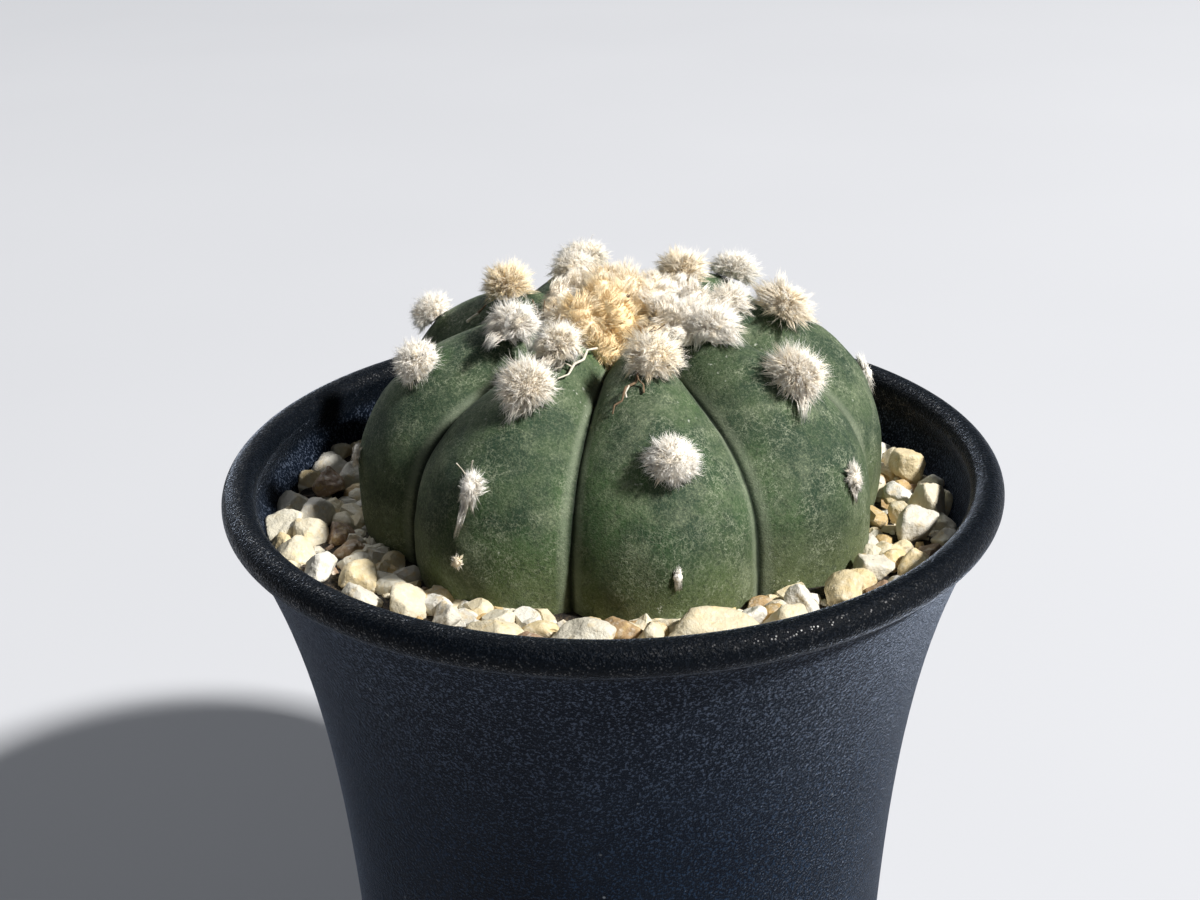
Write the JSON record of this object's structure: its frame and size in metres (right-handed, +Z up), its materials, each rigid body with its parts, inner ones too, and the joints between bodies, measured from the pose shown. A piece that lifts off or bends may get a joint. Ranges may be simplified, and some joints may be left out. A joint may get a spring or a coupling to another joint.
{
  "type": "potted star cactus",
  "caption": "Spineless ribbed star cactus with woolly areoles, growing in a flared round nursery pot dressed with crushed stone.",
  "frame": {"origin": "centre of the pot's foot, on the surface that the pot stands on", "axes": "+Z up along the pot's axis, -Y to the front of the plant, where the picture was taken from"},
  "size_m": [0.09, 0.09, 0.1009],
  "materials": {
    "pot_plastic": "matte, finely grained",
    "cactus_skin": "felted matt green epidermis with pale flecks",
    "areole_wool": "cream white wool",
    "crown_wool": "golden wool",
    "pale_stone": "crushed, matt, some faces slightly translucent",
    "soil": "gritty dark potting mix"
  },
  "bodies": {
    "root": {"pot": "pot_plastic", "soil": "soil", "gravel": "pale_stone", "cactus_body": "cactus_skin", "crown_wool": "crown_wool", "wool_a1": "areole_wool", "wool_a2": "areole_wool", "wool_a3": "areole_wool", "wool_b1": "areole_wool", "wool_b2": "areole_wool", "wool_b3": "areole_wool", "wool_b4": "areole_wool", "wool_c1": "areole_wool", "wool_c2": "areole_wool", "wool_c3": "areole_wool", "wool_d1": "areole_wool", "wool_d2": "areole_wool", "wool_d3": "areole_wool", "wool_e1": "areole_wool", "wool_e2": "areole_wool", "wool_e3": "areole_wool", "wool_e4": "areole_wool", "wool_f1": "areole_wool", "wool_f2": "areole_wool", "wool_f3": "areole_wool", "wool_g1": "areole_wool", "wool_g2": "areole_wool", "wool_g3": "areole_wool", "wool_h1": "areole_wool", "wool_h2": "areole_wool", "wool_h3": "areole_wool"}
  },
  "joints": []
}
